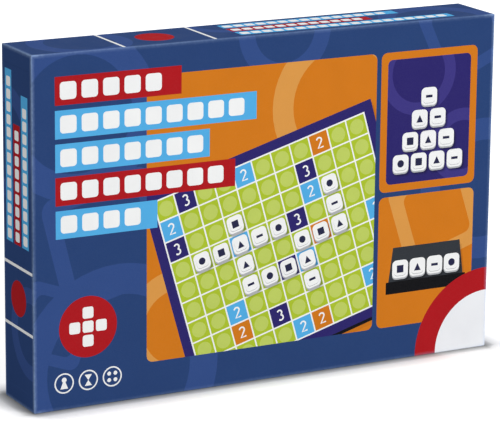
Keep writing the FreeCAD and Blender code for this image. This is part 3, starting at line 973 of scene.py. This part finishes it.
face_sheet = Sheet()
face_sheet.add_print(face_print, face_low, Vector((1, 0, 0)), Vector((0, 0, 1)), unfold_face)
rim = [Vector((x, 0, z)) for x, z in ((face_low.x, face_low.z), (face_high.x, face_low.z),
                                     (face_high.x, face_high.z), (face_low.x, face_high.z))]
front = Vector((0, face_low.y, 0))
behind = Vector((0, face_high.y, 0))
for here, there in zip(rim, rim[1:] + rim[:1]):
    strip = [here + front, here + behind, there + behind, there + front]
    face_sheet.add_face(strip, [unfold_face(point) for point in strip], colour(220, 220, 216))
# Its edges are lightened towards this pale grey, as on the wraps: wear with a painted highlight in it.
board_print = print_material("board_print", "game_board_face", colour(226, 226, 232), 0.45)
game_face = face_sheet.make("game_board_face_print", board_print)
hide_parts("game_board_face")
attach(game_face, "game_board")


# Lid board: the grey-board tray of the lid, the same board as the base and slightly larger, so that
# it slips over it.

dress("lid_board", grey_board)


# Lid corner stays: gummed kraft strips in the four corners of the lid.

dress("lid_corner_stays", kraft_tape)


# Lid wrap: the printed front and sides of the box, one varnished sheet glued over the lid and turned
# in over its rim. Blue ground with an orange window of pictures, coloured bars and small signs.

width, height, depth = flat_size("lid_wrap")
cover = Print(width, height, BLUE)
for ring in ((36, 226, 66, 45), (70, 24, 84, 60), (392, 132, 58, 40), (210, 276, 40, 26)):
    cover.ghost_ring(*ring, GHOST_BLUE)
cover.ghost_frame(60, 128, 92, 13, 14, GHOST_BLUE)
cover.ghost_frame(16, 66, 60, 9, -20, GHOST_BLUE)
cover.ghost_frame(372, 262, 70, 10, 25, GHOST_BLUE)

# Orange window of three panes
cover.ink(rounded(93, 27, 292, 250, 5), ORANGE, tag="large pane")
cover.ink(rounded(296, 138, 384, 250, 5), ORANGE)
cover.ink(rounded(296, 27, 384, 134, 5), ORANGE, tag="lower pane")
cover.ghost_ring(262, 214, 62, 44, GHOST_ORANGE, "large pane")
cover.ghost_ring(120, 52, 46, 30, GHOST_ORANGE, "large pane")
cover.ghost_frame(350, 116, 76, 12, 18, GHOST_ORANGE, "lower pane")


def cover_square(column, row):
    """Colour and number of one square of the pictured field, scattered over it."""
    if (column * 3 + row * 5) % 13 == 4:
        return NAVY, 3
    if (column * 5 + row * 2) % 11 == 3:
        return SKY, 2
    if (column + row * 4) % 17 == 6:
        return ORANGE, 2
    return GREEN, 0


# Picture of a turned playing field with crossing rows of tiles
FIELD_TURN = 16.0
FIELD_PITCH = 17.2
FIELD_COLUMNS = 11
FIELD_ROWS = 9
FIELD_MIDDLE = (211, 104)
TILE_SPOTS = ((1, 5), (2, 5), (3, 5), (4, 5), (5, 5), (3, 6), (3, 4), (3, 3), (4, 3), (5, 3), (6, 3), (6, 2),
              (6, 4), (7, 4), (8, 4), (8, 5), (8, 6))
squared_field(cover, *FIELD_MIDDLE, FIELD_COLUMNS, FIELD_ROWS, FIELD_PITCH, FIELD_TURN, "large pane",
              cover_square)
from_middle = [((column - FIELD_COLUMNS // 2) * FIELD_PITCH, (row - FIELD_ROWS // 2) * FIELD_PITCH)
               for column, row in TILE_SPOTS]
for number, spot in enumerate(turned(from_middle, *FIELD_MIDDLE, FIELD_TURN)):
    cover.tile(*spot, 13.6, number, FIELD_TURN, "large pane")

# Picture of a heap of tiles on a dark card
cover.ink(rounded(302, 144, 378, 244, 4), NAVY, tag="dark pane")
for ring in ((330, 232, 34, 24), (372, 170, 30, 20)):
    cover.ghost_ring(*ring, GHOST_NAVY, "dark pane")
for row in range(4):
    for column in range(4 - row):
        cover.tile(315.2 + 16.6 * column + 8.3 * row, 160 + 17.4 * row, 14.4, column + row)

# Picture of a rack with four tiles
rack_slope = [(306, 62), (376, 62), (372, 92), (310, 92)]
cover.ink([(u + 2, v - 4) for u, v in rack_slope], BLACK, 0.2)
cover.ink(rack_slope, CHARCOAL)
cover.ink(rectangle(304, 54, 378, 64), BLACK)
for column in range(4):
    cover.tile(317 + 16 * column, 74, 14.6, column + 1)

# Bars with rows of blank squares
for number, (length, shade) in enumerate(((104, RED), (168, SKY), (128, SKY), (150, RED), (84, SKY))):
    cover.bar(18, 234 - 25.4 * number, length, 21.6, shade)

# Round red badge with a cross of squares
cover.ink(disc(44, 62, 24), RED)
for u, v in ((44, 62), (55, 62), (33, 62), (44, 73), (44, 51)):
    cover.ink(rounded(u - 4.5, v - 4.5, u + 4.5, v + 4.5, 1.8), WHITE)

# Three round signs: a pawn, a sand-glass and the four spots of a die
for centre in (24, 44, 64):
    cover.ink(disc(centre, 20, 8), WHITE)
    cover.ink(disc(centre, 20, 6.9), BLUE)
cover.ink(disc(24, 22.6, 2, 24), WHITE)
cover.ink([(20.8, 15.6), (27.2, 15.6), (24.8, 21.4), (23.2, 21.4)], WHITE)
cover.ink([(41, 24.4), (47, 24.4), (44, 20)], WHITE)
cover.ink([(41, 15.6), (47, 15.6), (44, 20)], WHITE)
for u, v in ((61.4, 17.4), (66.6, 17.4), (61.4, 22.6), (66.6, 22.6)):
    cover.ink(disc(u, v, 1.6, 20), WHITE)

# Bare corner field with a red border
corner = (width, 0)
cover.ink(rectangle(0, 0, width, height), BLUE, 0.0, tag="sheet")
cover.ink(disc(*corner, 66, 96), RED, inside="sheet")
cover.ink(disc(*corner, 47, 96), colour(240, 242, 246), inside="sheet")

lid_long_side = Print(width, depth, BLUE)
for ring in ((52, 30, 40, 27), (350, 4, 48, 34), (180, 48, 30, 20)):
    lid_long_side.ghost_ring(*ring, GHOST_BLUE)
for u in (74, 150):
    lid_long_side.ink(rectangle(u, 0, u + 2.4, depth), WHITE)
lid_long_side.ink(disc(112.5, depth / 2, 15), RED)
for number, (length, shade) in enumerate(((190, SKY), (124, RED), (156, SKY))):
    lid_long_side.bar(176, 6 + 14.6 * number, length, 12, shade)

lid_short_side = Print(depth, height, BLUE)
for ring in ((10, 200, 44, 30), (48, 60, 36, 24)):
    lid_short_side.ghost_ring(*ring, GHOST_BLUE)
for v in (58, 106):
    lid_short_side.ink(rectangle(0, v, depth, v + 2.4), WHITE)
lid_short_side.ink(disc(depth / 2, 82.5, 14), RED)
for number, (length, shade) in enumerate(((132, SKY), (92, RED), (116, SKY))):
    lid_short_side.bar(17 + 14.6 * number, 124, length, 12, shade, upright=True)

# Its folds are lightened towards this pale blue: partly worn paper, partly a painted highlight.
lid_print = print_material("lid_print", "lid_wrap", colour(184, 212, 252), 0.55)
lid_sheet = make_wrap("lid_wrap", lid_print, cover, lid_long_side, lid_short_side, 1)
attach(lid_sheet, "lid")


# Studio: a white floor that glows for the camera away from the box and has a painted contact shadow round the
# box's footprint, a large soft light in front at the right, a weaker one behind at the left, and even light
# from all round.

floor_mesh = bpy.data.meshes.new("floor")
floor_mesh.from_pydata([(-6, -6, 0), (6, -6, 0), (6, 6, 0), (-6, 6, 0)], [], [(0, 1, 2, 3)])
floor = add_object("floor", floor_mesh)
floor_paper, tree, shader = new_material("floor_paper")
path = add_node(tree, "ShaderNodeLightPath", {}).outputs
axes = own_axes(tree)
away = 0.0
for axis, side in (("X", cad_bounds[1][0]), ("Y", cad_bounds[1][1])):
    past_side = calculate(tree, "SUBTRACT", calculate(tree, "ABSOLUTE", axes[axis], 0.0), side)
    away = calculate(tree, "ADD", away, calculate(tree, "MAXIMUM", past_side, 0.0))
# Painted contact shadow round the box's footprint: for the camera the floor's colour darkens from 253 to 149
# within 10 mm of it, and the glow that whitens the floor is held back within 26 mm of it.
glow = map_range(tree, away, 6.0 * MM, 26.0 * MM, 0.0, 0.46)
beside = map_range(tree, away, 0.0, 10.0 * MM, 0.0, 1.0)
seen = mix_colours(tree, beside, colour(149, 149, 149), colour(253, 253, 253))
set_inputs(tree, shader, {
    "Base Color": mix_colours(tree, path["Is Camera Ray"], colour(172, 172, 172), seen),
    "Roughness": map_range(tree, noise(tree, 300.0, 4.0), 0.3, 0.7, 0.85, 0.95),
    "Specular IOR Level": 0.0,
    "Emission Color": (1.0, 1.0, 1.0, 1.0),
    "Emission Strength": calculate(tree, "MULTIPLY", path["Is Camera Ray"], glow),
})
floor_mesh.materials.append(floor_paper)

world = bpy.data.worlds.new("studio")
bpy.context.scene.world = world
world.use_nodes = True
tree = world.node_tree
path = add_node(tree, "ShaderNodeLightPath", {}).outputs
direct = calculate(tree, "MAXIMUM", path["Is Camera Ray"], path["Is Glossy Ray"], path["Is Transmission Ray"])
set_inputs(tree, tree.nodes["Background"], {
    "Color": (1.0, 1.0, 1.0, 1.0),
    "Strength": map_range(tree, direct, 0.0, 1.0, 0.46, 1.0),
})

LIT_POINT = Vector((0, 0, 0.14))
for name, watts, place in (("soft_light", 262.0, (2.64, -4.56, 2.72)),
                           ("back_light", 118.0, (-1.92, 4.64, 1.84))):
    light = bpy.data.lights.new(name, "AREA")
    light.shape = "DISK"
    light.size = 3.5
    light.energy = watts
    lamp = add_object(name, light)
    lamp.location = place
    lamp.rotation_euler = (LIT_POINT - lamp.location).to_track_quat("-Z", "Y").to_euler()

# Fitted to the corners of the box in the photograph: place in millimetres, turns in degrees
CAMERA_PLACE = Vector((-1015.1, -1892.7, 674.0))
CAMERA_TURNS = (-28.133, 14.261, 0.560)
camera_data = bpy.data.cameras.new("camera")
camera_data.sensor_width = 36.0
camera_data.lens = 204.57
camera = add_object("camera", camera_data)
yaw, pitch, roll = (math.radians(turn) for turn in CAMERA_TURNS)
level_right = Vector((math.cos(yaw), math.sin(yaw), 0))
level_ahead = Vector((-math.sin(yaw), math.cos(yaw), 0))
ahead = math.cos(pitch) * level_ahead - math.sin(pitch) * Vector((0, 0, 1))
level_up = level_right.cross(ahead)
right = math.cos(roll) * level_right + math.sin(roll) * level_up
facing = Matrix((right, right.cross(ahead), -ahead)).transposed().to_4x4()
camera.matrix_world = Matrix.Translation(CAMERA_PLACE * MM) @ facing
bpy.context.scene.camera = camera
bpy.context.scene.view_settings.view_transform = "Standard"
